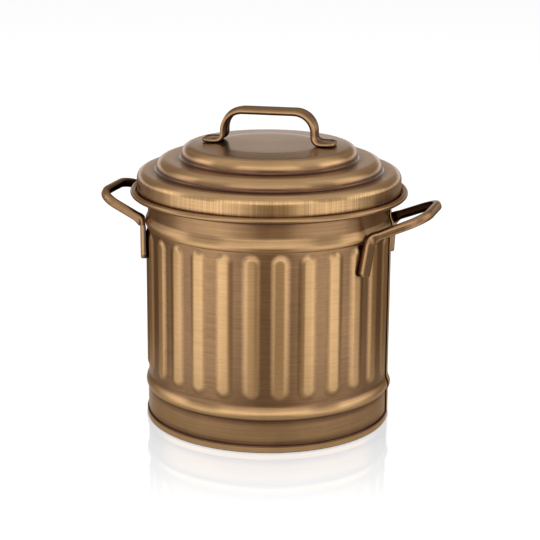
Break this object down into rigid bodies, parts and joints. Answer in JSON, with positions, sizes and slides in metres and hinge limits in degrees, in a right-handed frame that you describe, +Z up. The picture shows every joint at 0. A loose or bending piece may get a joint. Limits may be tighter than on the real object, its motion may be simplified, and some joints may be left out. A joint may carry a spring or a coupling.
{
  "type": "countertop waste bin",
  "caption": "Small fluted sheet-metal pail with a rolled rim, twisted strap handles and a stepped lift-off lid with a strap handle.",
  "frame": {"origin": "centre of the foot ring, on the surface that the bin stands on", "axes": "+Z up along the bin's axis, +X from the axis towards the middle of the right side handle"},
  "size_m": [0.2214, 0.1786, 0.2042],
  "materials": {
    "wall_brass": "antique bronze tone, brushed round the body, satin",
    "base_brass": "antique bronze tone, brushed, satin",
    "lid_brass": "antique bronze tone, brushed in circles, glossier in the middle",
    "handle_brass": "antique bronze tone, satin, darker in the hollows"
  },
  "bodies": {
    "bin": {"body_wall": "wall_brass", "base_pan": "base_brass", "side_handle_right": "handle_brass", "side_handle_left": "handle_brass"},
    "lid": {"lid_shell": "lid_brass", "lid_handle": "handle_brass"}
  },
  "joints": [
    {"name": "lid_lift", "type": "slide", "parent": "bin", "child": "lid", "axis": [0, 0, 1], "range_m": [0, 0.12]}
  ]
}
